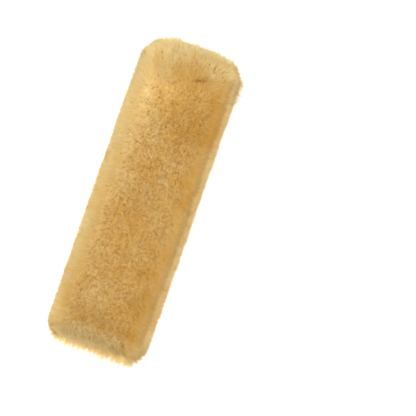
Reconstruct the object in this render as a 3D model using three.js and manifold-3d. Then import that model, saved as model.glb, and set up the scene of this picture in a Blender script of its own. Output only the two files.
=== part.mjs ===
// Sheepskin seat belt shoulder pad.
//
// One panel of sheepskin is folded round a seat belt with its wool outwards. Its two long edges
// overlap behind the belt and close with a hook strip and a loop strip, and a thin fabric lining
// covers the leather inside, where the belt slides. The pad lies closed on its back.
//
// Millimetres. X runs across the pad, Y along the belt and Z up, out of the front of the pad. The
// origin is at the middle of the footprint, where the wool rests. The nap of the wool leans to -Y.

import * as THREE from "three";
import { mergeVertices } from "three/addons/utils/BufferGeometryUtils.js";
import Module from "manifold-3d";

// Seat belt, and the room that it has inside the pad
const BELT_WIDTH = 47;
const BELT_SIDE_ROOM = 3.5;
const PASSAGE_HEIGHT = 6;

// Layers
const HIDE_THICKNESS = 1.2;
const LINING_THICKNESS = 0.8;
const SEAT_GAP = 0.3; // between layers that lie on each other

// Lengths along the belt
const HIDE_LENGTH = 250;
const LINING_END_INSET = 2;
const TAPE_END_INSET = 4;

// Wool, from the leather to the tips
const PILE_FRONT = 14;
const PILE_BACK = 9;
const PILE_SIDE = 15.7;
const PILE_END = 10.5; // past the end of the leather
const PILE_PRESS = 2.6; // how far the pad's weight presses the back wool flat

// Closure: hook strip on the flap, loop strip on the underlap
const TAPE_WIDTH = 20;
const TAPE_BASE = 0.6;
const TAPE_SELVEDGE = 1.5; // bare border of each strip
const HOOK_THICKNESS = 1.4;
const LOOP_THICKNESS = 1.6;
const TAPE_MARGIN = 1.5; // leather outside each strip
const SLIT_WIDTH = 0.8; // where the flap's wool meets the wool beside it

// Rounding of the wool
const FRONT_SQUARENESS = 3.1; // exponent of the section's upper half
const BACK_SQUARENESS = 3.4;
const END_ROUND = 16; // along Y
const CORNER_ROUND = 18; // across, at the pad's corners
const FRONT_ROLL = 13; // down, at the front of each end
const BACK_ROLL = 9;
const MOUTH_FLARE = 4; // the wool opens round each end of the passage

// Locks of wool
const LOCK_SPACING = 4.5; // from a lock's tip to the parting beside it
const LOCK_DEPTH = 2.1;
const LOCK_UNEVENNESS = 1.3;
const LOCK_WANDER = 1.2; // sideways
const NAP_LEAN = 1.6;

// The one place on the front where the wool parts
const PARTING_X = 10.5;
const PARTING_Y = 109;
const PARTING_LENGTH = 9; // across the pad
const PARTING_WIDTH = 5;
const PARTING_DEPTH = 3;

const FOLD_SEGMENTS = 14; // facets of each half-round fold
const SECTION_SAMPLES = 720;

// Heights, from the back wool up through every layer
const flapOuter = PILE_BACK;
const flapInner = flapOuter + HIDE_THICKNESS;
const hookBottom = flapInner + SEAT_GAP;
const hookTop = hookBottom + HOOK_THICKNESS;
const loopBottom = hookTop + SEAT_GAP;
const loopTop = loopBottom + LOOP_THICKNESS;
const underlapOuter = loopTop + SEAT_GAP;
const underlapInner = underlapOuter + HIDE_THICKNESS;
const passageFloor = underlapInner + SEAT_GAP + LINING_THICKNESS;
const passageRoof = passageFloor + PASSAGE_HEIGHT;
const frontInner = passageRoof + LINING_THICKNESS + SEAT_GAP;
const frontOuter = frontInner + HIDE_THICKNESS;
const padHeight = frontOuter + PILE_FRONT;

// Widths and lengths
const hideInnerHalf = BELT_WIDTH / 2 + BELT_SIDE_ROOM + LINING_THICKNESS + SEAT_GAP;
const padHalfWidth = hideInnerHalf + HIDE_THICKNESS + PILE_SIDE;
const padHalfLength = HIDE_LENGTH / 2 + PILE_END;
const flapEdge = TAPE_WIDTH / 2 + TAPE_MARGIN;
const underlapEdge = -flapEdge;

// The two folds: the flap's is deeper, because it goes round the underlap
const underlapFold = fold(1, underlapInner);
const flapFold = fold(-1, flapInner);

function fold(side, lowerFace) {
  const radius = (frontInner - lowerFace) / 2;
  return { x: side * (hideInnerHalf - radius), z: lowerFace + radius, radius };
}

const wasm = await Module();
wasm.setup();

// A closed three.js geometry as a solid for cutting and joining
function solidOf(geometry) {
  const bare = geometry.clone();
  bare.deleteAttribute("normal");
  bare.deleteAttribute("uv");
  const merged = mergeVertices(bare);
  return new wasm.Manifold(
    new wasm.Mesh({
      numProp: 3,
      vertProperties: new Float32Array(merged.attributes.position.array),
      triVerts: new Uint32Array(merged.index.array),
    }),
  );
}

function geometryOf(solid) {
  const mesh = solid.getMesh();
  const geometry = new THREE.BufferGeometry();
  geometry.setAttribute("position", new THREE.BufferAttribute(mesh.vertProperties, mesh.numProp));
  geometry.setIndex(new THREE.BufferAttribute(mesh.triVerts, 1));
  geometry.computeVertexNormals();
  return geometry;
}

// A section drawn across the pad, as X and Z, drawn out to a length along Y about the middle
function alongBelt(section, length) {
  const geometry = new THREE.ExtrudeGeometry(section, {
    depth: length,
    bevelEnabled: false,
    curveSegments: FOLD_SEGMENTS,
  });
  return geometry.translate(0, 0, -length / 2).rotateX(Math.PI / 2);
}

// A closed solid through rings of equally many points, each listed counter-clockwise as seen from
// -Y, with the rings in order from -Y to +Y. splitRising says which way a quad is split.
function throughRings(rings, splitRising = () => true) {
  const count = rings[0].length;
  const last = rings.length - 1;
  const index = [];
  const at = (ring, i) => ring * count + (i % count);
  for (let ring = 0; ring < last; ring++) {
    for (let i = 0; i < count; i++) {
      const [a, b] = [at(ring, i), at(ring, i + 1)];
      const [c, d] = [at(ring + 1, i + 1), at(ring + 1, i)];
      index.push(...(splitRising(ring, i) ? [a, c, b, a, d, c] : [a, d, b, b, d, c]));
    }
  }
  const points = rings.flat();
  const startCentre = points.push(middleOf(rings[0])) - 1;
  const endCentre = points.push(middleOf(rings[last])) - 1;
  for (let i = 0; i < count; i++) {
    index.push(startCentre, at(0, i), at(0, i + 1));
    index.push(endCentre, at(last, i + 1), at(last, i));
  }
  const geometry = new THREE.BufferGeometry().setFromPoints(points);
  return geometry.setIndex(index);
}

function middleOf(points) {
  const sum = points.reduce((total, p) => total.add(p), new THREE.Vector3());
  return sum.divideScalar(points.length);
}

// A repeatable number from -1 to 1 for each place in a pattern
function scatter(i, j, channel) {
  const value = Math.sin(i * 127.1 + j * 311.7 + channel * 74.7) * 43758.5453;
  return 2 * (value - Math.floor(value)) - 1;
}

// The wool's section at mid length: a squarish oval about the height of the folds
const sectionMiddle = (flapOuter + frontOuter) / 2;

function sectionPoint(angle, halfWidth, rise, drop) {
  const [c, s] = [Math.cos(angle), Math.sin(angle)];
  const power = 2 / (s > 0 ? FRONT_SQUARENESS : BACK_SQUARENESS);
  return new THREE.Vector2(
    halfWidth * Math.sign(c) * Math.abs(c) ** power,
    (s > 0 ? rise : drop) * Math.sign(s) * Math.abs(s) ** power,
  );
}

// Angles that divide the section into equal lengths
function evenAngles(count, halfWidth, rise, drop) {
  const travelled = [0];
  let before = sectionPoint(0, halfWidth, rise, drop);
  for (let k = 1; k <= SECTION_SAMPLES; k++) {
    const point = sectionPoint((k / SECTION_SAMPLES) * 2 * Math.PI, halfWidth, rise, drop);
    travelled.push(travelled[k - 1] + point.distanceTo(before));
    before = point;
  }
  const perimeter = travelled[SECTION_SAMPLES];
  const angles = [];
  for (let i = 0, k = 0; i < count; i++) {
    const target = (i / count) * perimeter;
    while (travelled[k + 1] < target) k++;
    const part = (target - travelled[k]) / (travelled[k + 1] - travelled[k]);
    angles.push(((k + part) / SECTION_SAMPLES) * 2 * Math.PI);
  }
  return { angles, perimeter };
}

// Stations from one end to the other: place along Y, and how far the rounding has come, 0 to 1
function stations() {
  const straightHalf = padHalfLength - END_ROUND;
  const quarter = (Math.PI / 4) * (END_ROUND + (CORNER_ROUND + FRONT_ROLL) / 2);
  const roundSteps = Math.max(3, Math.round(quarter / LOCK_SPACING));
  const straightSteps = 2 * Math.round(straightHalf / LOCK_SPACING);
  const list = [];
  for (let k = 0; k < straightSteps; k++) {
    list.push({ y: -straightHalf + (k / straightSteps) * 2 * straightHalf, turned: 0 });
  }
  const ends = [];
  for (let k = 0; k <= roundSteps; k++) {
    const angle = ((k / roundSteps) * Math.PI) / 2;
    ends.push({ y: straightHalf + END_ROUND * Math.sin(angle), turned: 1 - Math.cos(angle) });
  }
  const startEnd = ends.slice(1).map(({ y, turned }) => ({ y: -y, turned }));
  return [...startEnd.reverse(), ...list, ...ends];
}

// How deep the parting is at a place on the wool
function partingAt({ x, y, z }) {
  if (z < frontOuter) return 0;
  const [across, along] = [(x - PARTING_X) / PARTING_LENGTH, (y - PARTING_Y) / PARTING_WIDTH];
  return PARTING_DEPTH * Math.exp(-4 * (across ** 2 + along ** 2));
}

// The wool: a lattice of lock tips with partings between them, over the pad's rounded form. Where
// the pad lies on its back the locks are pressed into one flat face.
function woolForm() {
  const rise = padHeight - sectionMiddle;
  const drop = sectionMiddle + PILE_PRESS;
  const { perimeter } = evenAngles(8, padHalfWidth, rise, drop);
  const around = 2 * Math.round(perimeter / LOCK_SPACING / 2);
  const { angles } = evenAngles(around, padHalfWidth, rise, drop);
  const isTip = (i, j) => (i + j) % 2 === 0;

  const rings = stations().map(({ y, turned }, j) =>
    angles.map((angle, i) => {
      const halfWidth = padHalfWidth - CORNER_ROUND * turned;
      const section = sectionPoint(
        angle,
        halfWidth,
        rise - FRONT_ROLL * turned,
        drop - BACK_ROLL * turned,
      );
      const surface = new THREE.Vector3(section.x, y, sectionMiddle + section.y);
      const outward = new THREE.Vector3(
        section.x / halfWidth ** 2,
        (Math.sign(y) * turned) / END_ROUND,
        section.y / rise ** 2,
      ).normalize();
      const height = isTip(i, j)
        ? -0.5 * LOCK_UNEVENNESS * (1 + scatter(i, j, 1))
        : -LOCK_DEPTH + 0.5 * LOCK_UNEVENNESS * scatter(i, j, 1);
      const lean = isTip(i, j) ? NAP_LEAN * (1 - turned) : 0;
      surface.addScaledVector(outward, height - partingAt(surface));
      surface.y += LOCK_WANDER * scatter(i, j, 2) - lean;
      surface.x += LOCK_WANDER * scatter(i, j, 3) * Math.abs(outward.z);
      surface.z = Math.max(0, surface.z);
      return surface;
    }),
  );
  return throughRings(rings, (ring, i) => !isTip(ring, i));
}

// The space inside the leather: the belt's passage, the closure under it and the slit that lets
// the flap open. Its outline follows the leather's inner face round both folds.
function passageSection() {
  const section = new THREE.Shape();
  section.moveTo(flapEdge, -PILE_PRESS);
  section.lineTo(flapEdge + SLIT_WIDTH, -PILE_PRESS);
  section.lineTo(flapEdge + SLIT_WIDTH, underlapOuter);
  section.lineTo(underlapEdge, underlapOuter);
  section.lineTo(underlapEdge, underlapInner);
  roundFold(section, underlapFold, 0, 1);
  roundFold(section, flapFold, 0, -1);
  section.lineTo(flapEdge, flapInner);
  return section;
}

// Adds a half-round fold, inset from the leather. Side 1 is the underlap's fold, which rises when
// the outline runs counter-clockwise, and side -1 the flap's, which falls.
function roundFold(section, { x, z, radius }, inset, side, clockwise = false) {
  const from = (side > 0) !== clockwise ? -Math.PI / 2 : Math.PI / 2;
  const r = radius - inset;
  section.lineTo(x, z + r * Math.sin(from));
  section.absarc(x, z, r, from, from + (clockwise ? -Math.PI : Math.PI), clockwise);
}

// Opens the wool round the leather's end, from the leather's outer face out past the tips
function mouth(end) {
  const reach = PILE_END + 2 * LOCK_WANDER;
  const spread = (MOUTH_FLARE * reach) / PILE_END;
  const ring = (y, grow) => {
    const radius = (frontOuter - flapOuter) / 2 + grow;
    const centre = hideInnerHalf + HIDE_THICKNESS + grow - radius;
    const outline = new THREE.Path();
    outline.absarc(centre, 0, radius, -Math.PI / 2, Math.PI / 2);
    outline.absarc(-centre, 0, radius, Math.PI / 2, (3 * Math.PI) / 2);
    const points = outline.getPoints(FOLD_SEGMENTS).slice(0, -1);
    return points.map((p) => new THREE.Vector3(p.x, y, sectionMiddle + p.y));
  };
  const rings = [ring((end * HIDE_LENGTH) / 2, 0), ring(end * (HIDE_LENGTH / 2 + reach), spread)];
  return throughRings(end > 0 ? rings : rings.reverse());
}

function sheepskin() {
  const passage = alongBelt(passageSection(), 2 * (padHalfLength + PILE_END));
  return geometryOf(
    solidOf(woolForm())
      .subtract(solidOf(passage))
      .subtract(solidOf(mouth(1)))
      .subtract(solidOf(mouth(-1))),
  );
}

// One panel of fabric against the leather, from the underlap's edge round both folds to the strip
function lining() {
  const outer = SEAT_GAP;
  const inner = SEAT_GAP + LINING_THICKNESS;
  const start = underlapEdge + TAPE_MARGIN;
  const end = -TAPE_WIDTH / 2 - SEAT_GAP;
  const section = new THREE.Shape();
  section.moveTo(start, underlapInner + outer);
  roundFold(section, underlapFold, outer, 1);
  roundFold(section, flapFold, outer, -1);
  section.lineTo(end, flapInner + outer);
  section.lineTo(end, flapInner + inner);
  roundFold(section, flapFold, inner, -1, true);
  roundFold(section, underlapFold, inner, 1, true);
  section.lineTo(start, underlapInner + inner);
  return alongBelt(section, HIDE_LENGTH - 2 * LINING_END_INSET);
}

// A sewn strip: a woven base with a narrower field of hooks or loops on it. rises says whether the
// field points up from the base, towards +Z.
function strip(base, field, rises) {
  const half = TAPE_WIDTH / 2;
  const fieldHalf = half - TAPE_SELVEDGE;
  const step = base + (rises ? TAPE_BASE : -TAPE_BASE);
  const section = new THREE.Shape();
  section.moveTo(-half, base);
  section.lineTo(half, base);
  section.lineTo(half, step);
  section.lineTo(fieldHalf, step);
  section.lineTo(fieldHalf, field);
  section.lineTo(-fieldHalf, field);
  section.lineTo(-fieldHalf, step);
  section.lineTo(-half, step);
  return alongBelt(section, HIDE_LENGTH - 2 * TAPE_END_INSET);
}

function piece(name, geometry, color, roughness) {
  const material = new THREE.MeshStandardMaterial({ color, roughness, metalness: 0 });
  const mesh = new THREE.Mesh(geometry, material);
  mesh.name = name;
  return mesh;
}

const pad = new THREE.Group();
pad.add(piece("sheepskin", sheepskin(), 0xd0a25c, 1.0));
pad.add(piece("lining", lining(), 0xc9a877, 0.85));
pad.add(piece("hook_strip", strip(hookBottom, hookTop, true), 0xb08a58, 0.7));
pad.add(piece("loop_strip", strip(loopTop, loopBottom, false), 0xb99667, 0.95));

export default pad;
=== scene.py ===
"""Sheepskin seat belt shoulder pad: the looks.

The leather, the lining, the two strips and their sewing are modelled as sheets and stitches, and
the wool as clumps of curved fibres over a dense core, out to the pad's rounded form. All lengths
are in millimetres until a mesh is made.
"""
import math

import bpy
import numpy as np
from mathutils import Matrix, Vector


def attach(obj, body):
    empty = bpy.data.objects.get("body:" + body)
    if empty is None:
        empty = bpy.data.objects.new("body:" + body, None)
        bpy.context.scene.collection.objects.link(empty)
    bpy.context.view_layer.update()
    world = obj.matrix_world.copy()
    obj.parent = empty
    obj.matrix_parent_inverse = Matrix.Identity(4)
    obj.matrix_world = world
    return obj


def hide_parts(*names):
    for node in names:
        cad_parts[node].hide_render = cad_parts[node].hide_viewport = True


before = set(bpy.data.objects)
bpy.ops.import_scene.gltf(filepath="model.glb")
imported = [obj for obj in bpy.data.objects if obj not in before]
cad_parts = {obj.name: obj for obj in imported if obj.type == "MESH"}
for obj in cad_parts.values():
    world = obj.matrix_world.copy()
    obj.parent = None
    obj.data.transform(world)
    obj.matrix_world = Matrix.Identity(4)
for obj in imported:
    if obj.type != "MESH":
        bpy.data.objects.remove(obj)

MM = 0.001
rng = np.random.default_rng(20)
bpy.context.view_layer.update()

# Sizes, as in the CAD source
HIDE = 1.2
LINING = 0.8
SEAT_GAP = 0.3
HIDE_HALF_LENGTH = 125.0
LINING_HALF_LENGTH = 123.0
TAPE_HALF_LENGTH = 121.0
TAPE_HALF_WIDTH = 10.0
FLAP_EDGE = 11.5
SLIT_RIGHT = 12.3
FLAP_INNER = 10.2
UNDERLAP_INNER = 15.3
FRONT_INNER = 23.5
HIDE_INNER_HALF = 28.1
PAD_HALF_WIDTH = 45.0
PAD_HALF_LENGTH = 135.5
SECTION_MIDDLE = 16.85
RISE = 21.85
DROP = 19.45
FRONT_SQUARENESS = 3.1
BACK_SQUARENESS = 3.4
END_ROUND = 16.0
CORNER_ROUND = 18.0
FRONT_ROLL = 13.0
BACK_ROLL = 9.0

# How the wool turns in at each mouth of the passage
LIP_TURN = math.radians(72)  # how far the wool's end rounds over before it turns in
LIP_ROWS = 4
LIP_REACH = 0.8  # the share of the way to the leather
LIP_DRAW = 1.6  # and how far back along the pad
ROOT_INSET = 0.3  # from the leather's cut ends
REST = 0.25  # the lowest that a fibre lies


def unit(v):
    return v / np.maximum(np.linalg.norm(v, axis=-1, keepdims=True), 1e-9)


def smooth_noise(points, scale, seed):
    """Smooth noise from -1 to 1 at points, with features of about that scale."""
    lattice = np.random.default_rng(seed).uniform(-1, 1, (32, 32, 32))
    q = np.asarray(points) / scale + 100.0
    cell = np.floor(q).astype(int)
    f = q - cell
    f = f * f * (3 - 2 * f)
    total = np.zeros(q.shape[:-1])
    for corner in range(8):
        d = np.array([corner & 1, corner >> 1 & 1, corner >> 2 & 1])
        i = (cell + d) % 32
        weight = np.prod(np.where(d, f, 1 - f), axis=-1)
        total += weight * lattice[i[..., 0], i[..., 1], i[..., 2]]
    return total


def smoothstep(x, low, high):
    t = np.clip((x - low) / (high - low), 0, 1)
    return t * t * (3 - 2 * t)


def spot(x, y, at_x, at_y, radius):
    """1 at a place, and fading away from it."""
    return np.exp(-((x - at_x) ** 2 + (y - at_y) ** 2) / radius**2)


def travel(path):
    """How far each point of a path lies along it."""
    return np.concatenate([[0], np.cumsum(np.linalg.norm(np.diff(path, axis=0), axis=1))])


def mesh_object(name, points, faces, material):
    """A mesh object from points in millimetres. faces is a list of equal-width index arrays."""
    me = bpy.data.meshes.new(name)
    me.vertices.add(len(points))
    me.vertices.foreach_set("co", (np.asarray(points) * MM).astype(np.float32).ravel())
    starts, loops, at = [], [], 0
    for f in faces:
        f = np.asarray(f, np.int32)
        starts.append(at + np.arange(len(f), dtype=np.int32) * f.shape[1])
        loops.append(f.ravel())
        at += f.size
    me.loops.add(at)
    me.loops.foreach_set("vertex_index", np.concatenate(loops))
    starts = np.concatenate(starts)
    me.polygons.add(len(starts))
    me.polygons.foreach_set("loop_start", starts)
    me.update(calc_edges=True)
    me.validate()
    me.polygons.foreach_set("use_smooth", np.full(len(me.polygons), True))
    me.materials.append(material)
    obj = bpy.data.objects.new(name, me)
    bpy.context.scene.collection.objects.link(obj)
    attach(obj, "root")
    return obj


def set_attribute(mesh, name, values):
    attribute_layer = mesh.attributes.new(name, "FLOAT", "POINT")
    attribute_layer.data.foreach_set("value", values.astype(np.float32))


def slab_faces(rows, columns):
    """Faces of a closed slab between two grids of rows x columns points, the second listed after
    the first. The first grid's faces look out where its rows and columns turn right-handed."""
    index = np.arange(rows * columns).reshape(rows, columns)
    a, b = index[:-1, :-1].ravel(), index[1:, :-1].ravel()
    c, d = index[1:, 1:].ravel(), index[:-1, 1:].ravel()
    n = rows * columns
    quads = [np.stack([a, b, c, d], 1), np.stack([d, c, b, a], 1) + n]
    rim = np.concatenate([index[0, :-1], index[:-1, -1], index[-1, :0:-1], index[:0:-1, 0]])
    after = np.roll(rim, -1)
    quads.append(np.stack([rim, after, after + n, rim + n], 1))
    return np.concatenate(quads)


# The folded path of the layers
UNDERLAP_FOLD = (FRONT_INNER - UNDERLAP_INNER) / 2
FLAP_FOLD = (FRONT_INNER - FLAP_INNER) / 2


def wrap_path(inset, start, end, step=1.5):
    """Points (x, z) from the underlap's edge, round the right fold, across the front and round the
    left fold to the flap's edge, inset from the leather's inner face."""

    def line(a, b):
        n = max(2, int(round(math.dist(a, b) / step)))
        return [np.array(a) + (np.array(b) - np.array(a)) * k / n for k in range(n)]

    def half_round(cx, cz, r, r_count, first):
        n = max(8, int(round(math.pi * r_count / step * 2)))
        turns = first + np.pi * np.arange(n) / n
        return [np.array([cx + r * math.cos(t), cz + r * math.sin(t)]) for t in turns]

    right = (HIDE_INNER_HALF - UNDERLAP_FOLD, UNDERLAP_INNER + UNDERLAP_FOLD)
    left = (-HIDE_INNER_HALF + FLAP_FOLD, FLAP_INNER + FLAP_FOLD)
    z_low, z_high, z_flap = UNDERLAP_INNER + inset, FRONT_INNER - inset, FLAP_INNER + inset
    path = line((start, z_low), (right[0], z_low))
    path += half_round(*right, UNDERLAP_FOLD - inset, UNDERLAP_FOLD, -math.pi / 2)
    path += line((right[0], z_high), (left[0], z_high))
    path += half_round(*left, FLAP_FOLD - inset, FLAP_FOLD, math.pi / 2)
    path += line((left[0], z_flap), (end, z_flap))
    path.append(np.array([end, z_flap]))
    return np.array(path)


# The form of the wool: a grid of tips round the pad and along it, with the roots under them
AROUND, ALONG_STRAIGHT, ALONG_END = 300, 160, 22
SECTION_SAMPLES = 4001
LOWER_HALF = slice(2500, 3900)  # the samples among which the slit is found


def section(angle, half_width, rise, drop):
    c, s = np.cos(angle), np.sin(angle)
    power = np.where(s > 0, 2 / FRONT_SQUARENESS, 2 / BACK_SQUARENESS)
    x = half_width * np.sign(c) * np.abs(c) ** power
    z = np.where(s > 0, rise, drop) * np.sign(s) * np.abs(s) ** power
    return np.stack([x, z], -1)


fine_angles = np.linspace(0, 2 * np.pi, SECTION_SAMPLES)
full_section = section(fine_angles, PAD_HALF_WIDTH, RISE, DROP)
travelled = travel(full_section)
PERIMETER = travelled[-1]
# The grid goes round once from the right of the slit to its left
slit_at = np.interp(
    -SLIT_RIGHT, -full_section[LOWER_HALF, 0][::-1], travelled[LOWER_HALF][::-1]
)
grid_arc = (slit_at + np.linspace(0, PERIMETER, AROUND + 1)) % PERIMETER
grid_angles = np.interp(grid_arc, travelled, fine_angles)
skin_path = wrap_path(-HIDE, SLIT_RIGHT, FLAP_EDGE, 0.4)


def ring_at(y, turned):
    """The wool's outline at a place along the belt, and the leather's points nearest to it."""
    half_width = PAD_HALF_WIDTH - CORNER_ROUND * turned
    outline = section(
        grid_angles, half_width, RISE - FRONT_ROLL * turned, DROP - BACK_ROLL * turned
    )
    outline[:, 1] = np.maximum(outline[:, 1] + SECTION_MIDDLE, REST)
    nearest = ((outline[:, None] - skin_path[None]) ** 2).sum(-1).argmin(1)
    skin = skin_path[nearest]
    all_y = np.full(len(outline), y)
    return tuple(np.stack([xz[:, 0], all_y, xz[:, 1]], 1) for xz in (outline, skin))


def wool_rings():
    """Rings of the wool's tips and roots, from the lower mouth of the passage to the upper one."""
    turn = np.linspace(0, LIP_TURN, ALONG_END + 1)
    straight = PAD_HALF_LENGTH - END_ROUND
    end_y = straight + END_ROUND * np.sin(turn[1:])
    end_turned = 1 - np.cos(turn[1:])
    line_y = np.linspace(-straight, straight, ALONG_STRAIGHT + 1)
    all_y = np.concatenate([-end_y[::-1], line_y, end_y])
    all_turned = np.concatenate([end_turned[::-1], np.zeros_like(line_y), end_turned])
    rings = [ring_at(y, turned) for y, turned in zip(all_y, all_turned)]
    for side in (-1, 1):
        lip, skin = rings[0] if side < 0 else rings[-1]
        for k in range(1, LIP_ROWS + 1):
            drawn = lip + (skin - lip) * (LIP_REACH * k / LIP_ROWS)
            drawn[:, 1] -= side * LIP_DRAW * (k / LIP_ROWS) ** 2
            if side < 0:
                rings.insert(0, (drawn, skin))
            else:
                rings.append((drawn, skin))
    return rings


rings = wool_rings()
tips = np.stack([r[0] for r in rings], 1)
roots = np.stack([r[1] for r in rings], 1)
root_end = HIDE_HALF_LENGTH - ROOT_INSET
roots[..., 1] = np.clip(roots[..., 1], -root_end, root_end)
outward = unit(np.cross(np.gradient(tips, axis=0), np.gradient(tips, axis=1)))
MIDDLE = (AROUND // 2, len(rings) // 2)
if (outward[MIDDLE] * (tips - roots)[MIDDLE]).sum() < 0:
    outward = -outward
along = travel(tips[AROUND // 2])
LENGTH = along[-1]


def on_form(u, v):
    """Tip, root and outward direction at u round the pad and v along it, both in millimetres."""
    i = np.clip(u / PERIMETER, 0, 0.99999) * AROUND
    j = np.interp(v, along, np.arange(len(along)))
    i0, j0 = i.astype(int), np.minimum(j.astype(int), len(along) - 2)
    fi, fj = (i - i0)[:, None], (j - j0)[:, None]
    out = []
    for grid in (tips, roots, outward):
        low = grid[i0, j0] * (1 - fi) + grid[i0 + 1, j0] * fi
        high = grid[i0, j0 + 1] * (1 - fi) + grid[i0 + 1, j0 + 1] * fi
        out.append(low * (1 - fj) + high * fj)
    return out[0], out[1], unit(out[2])


# Materials
SPECULAR = 0.25
GRAIN_HEIGHT = 0.0004  # in metres


def material(name):
    m = bpy.data.materials.new(name)
    m.use_nodes = True
    return m, m.node_tree.nodes, m.node_tree.links, m.node_tree.nodes["Principled BSDF"]


def ramp(nodes, stops):
    r = nodes.new("ShaderNodeValToRGB")
    r.color_ramp.elements.remove(r.color_ramp.elements[1])
    for k, (at, colour) in enumerate(stops):
        e = r.color_ramp.elements[0] if k == 0 else r.color_ramp.elements.new(at)
        e.position, e.color = at, (*colour, 1)
    return r


def attribute(nodes, name):
    a = nodes.new("ShaderNodeAttribute")
    a.attribute_name = name
    return a


def wool_material():
    """Two ramps from a fibre's root to its tip, a golden and a pale one, mixed by its tint."""
    m, nodes, links, shader = material("wool")
    # both ramps darken towards the root: partly the wool's own paler tips, partly painted shade
    # deep in the pile
    dark = ramp(
        nodes, [(0, (0.18, 0.075, 0.006)), (0.5, (0.36, 0.170, 0.0125)), (1, (0.53, 0.28, 0.024))]
    )
    pale = ramp(
        nodes, [(0, (0.24, 0.175, 0.070)), (0.5, (0.44, 0.340, 0.148)), (1, (0.65, 0.515, 0.255))]
    )
    tip, tint = attribute(nodes, "tip"), attribute(nodes, "tint")
    links.new(tip.outputs["Fac"], dark.inputs["Fac"])
    links.new(tip.outputs["Fac"], pale.inputs["Fac"])
    mix = nodes.new("ShaderNodeMix")
    mix.data_type = "RGBA"
    links.new(tint.outputs["Fac"], mix.inputs["Factor"])
    links.new(dark.outputs["Color"], mix.inputs["A"])
    links.new(pale.outputs["Color"], mix.inputs["B"])
    links.new(mix.outputs["Result"], shader.inputs["Base Color"])
    shader.inputs["Roughness"].default_value = 0.75
    shader.inputs["Specular IOR Level"].default_value = SPECULAR
    shader.inputs["Sheen Weight"].default_value = 0.12
    shader.inputs["Sheen Roughness"].default_value = 0.45
    shader.inputs["Sheen Tint"].default_value = (1.0, 0.82, 0.55, 1)
    return m


def patterned(name, low, high, scale, bump, roughness, bump_scale=None, stretch=(1, 1, 1)):
    """A material whose colour and height follow noise in object space; scales are per metre."""
    m, nodes, links, shader = material(name)
    where = nodes.new("ShaderNodeTexCoord")
    mapping = nodes.new("ShaderNodeMapping")
    mapping.inputs["Scale"].default_value = stretch
    links.new(where.outputs["Object"], mapping.inputs["Vector"])
    patches = nodes.new("ShaderNodeTexNoise")
    patches.inputs["Scale"].default_value = scale
    patches.inputs["Detail"].default_value = 6
    links.new(mapping.outputs["Vector"], patches.inputs["Vector"])
    colours = ramp(nodes, [(0.3, low), (0.7, high)])
    links.new(patches.outputs["Fac"], colours.inputs["Fac"])
    links.new(colours.outputs["Color"], shader.inputs["Base Color"])
    grain = nodes.new("ShaderNodeTexNoise")
    grain.inputs["Scale"].default_value = bump_scale or scale * 6
    grain.inputs["Detail"].default_value = 4
    links.new(mapping.outputs["Vector"], grain.inputs["Vector"])
    relief = nodes.new("ShaderNodeBump")
    relief.inputs["Strength"].default_value = bump
    relief.inputs["Distance"].default_value = GRAIN_HEIGHT
    links.new(grain.outputs["Fac"], relief.inputs["Height"])
    links.new(relief.outputs["Normal"], shader.inputs["Normal"])
    shader.inputs["Roughness"].default_value = roughness
    shader.inputs["Specular IOR Level"].default_value = SPECULAR
    return m


def darken(m, by, colour):
    """Mix a material's colour with another one, as far as an attribute says."""
    nodes, links = m.node_tree.nodes, m.node_tree.links
    target = nodes["Principled BSDF"].inputs["Base Color"]
    mix = nodes.new("ShaderNodeMix")
    mix.data_type = "RGBA"
    links.new(attribute(nodes, by).outputs["Fac"], mix.inputs["Factor"])
    links.new(target.links[0].from_socket, mix.inputs["A"])
    mix.inputs["B"].default_value = (*colour, 1)
    links.new(mix.outputs["Result"], target)


WOOL = wool_material()
# the underwool's dark colour is partly painted shade deep in the wool
UNDERWOOL = patterned("underwool", (0.15, 0.065, 0.008), (0.40, 0.18, 0.026), 2200, 0.9, 0.95)
darken(UNDERWOOL, "dip_shade", (0.07, 0.032, 0.008))
SUEDE = patterned("suede", (0.50, 0.34, 0.18), (0.62, 0.45, 0.27), 120, 0.35, 0.9, 2500)
TRICOT = patterned(
    "tricot", (0.50, 0.33, 0.15), (0.58, 0.40, 0.20), 90, 0.5, 0.8, 1800, (1, 0.25, 1)
)
HOOK_TAPE = patterned("hook_tape", (0.40, 0.26, 0.11), (0.47, 0.31, 0.14), 400, 0.4, 0.45, 2200)
LOOP_TAPE = patterned("loop_tape", (0.44, 0.29, 0.12), (0.52, 0.35, 0.16), 400, 0.5, 0.85, 2200)
THREAD = patterned("thread", (0.42, 0.25, 0.09), (0.55, 0.36, 0.15), 900, 0.5, 0.6, 3000)

# What this pad's wool has in one place only, at (x, y), with painted shade in its partings and dips
# and painted highlights on its tufts
PARTINGS = [((5.8, 104.9), (16.4, 108.9), 1.5, 3.0)]  # from, to, half-width, depth
PARTING_LIT = 0.25  # painted light on the ridge below the line
# the parting's line is more golden and darker: painted shade in the crease
LINE_GOLDEN, LINE_SHADE = 0.4, 0.9
SHADED_DIPS = [  # hollows with painted shade in them: place and radius
    (-7.4, 134.5, 1.8),
    (10.1, 25.9, 1.6),
    (35.3, 15.2, 1.4),
    (-18.7, 1.1, 1.7),
    (4.9, -89.1, 1.9),
    (-15.7, -108.7, 2.2),
    (2.4, -109.5, 1.8),
    (-3.8, -81.4, 1.5),
    (-37.6, -84.3, 1.4),
    (24.0, -20.0, 1.3),
    (18.0, 60.0, 1.4),
]
# how deep a dip is, and how far its painted shade makes it more golden and darker
DIP_DEPTH, DIP_GOLDEN, DIP_SHADE = 1.2, 0.25, 0.35
LIT_TUFTS = [(20.9, 114.5, 2.6), (11.0, 21.0, 1.6), (-6.0, 38.0, 1.5)]  # raised tufts with a painted highlight: place and radius
# how far a tuft stands up, and how much paler its painted highlight makes it
TUFT_RISE, TUFT_HIGHLIGHT = 0.8, 0.70
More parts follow.
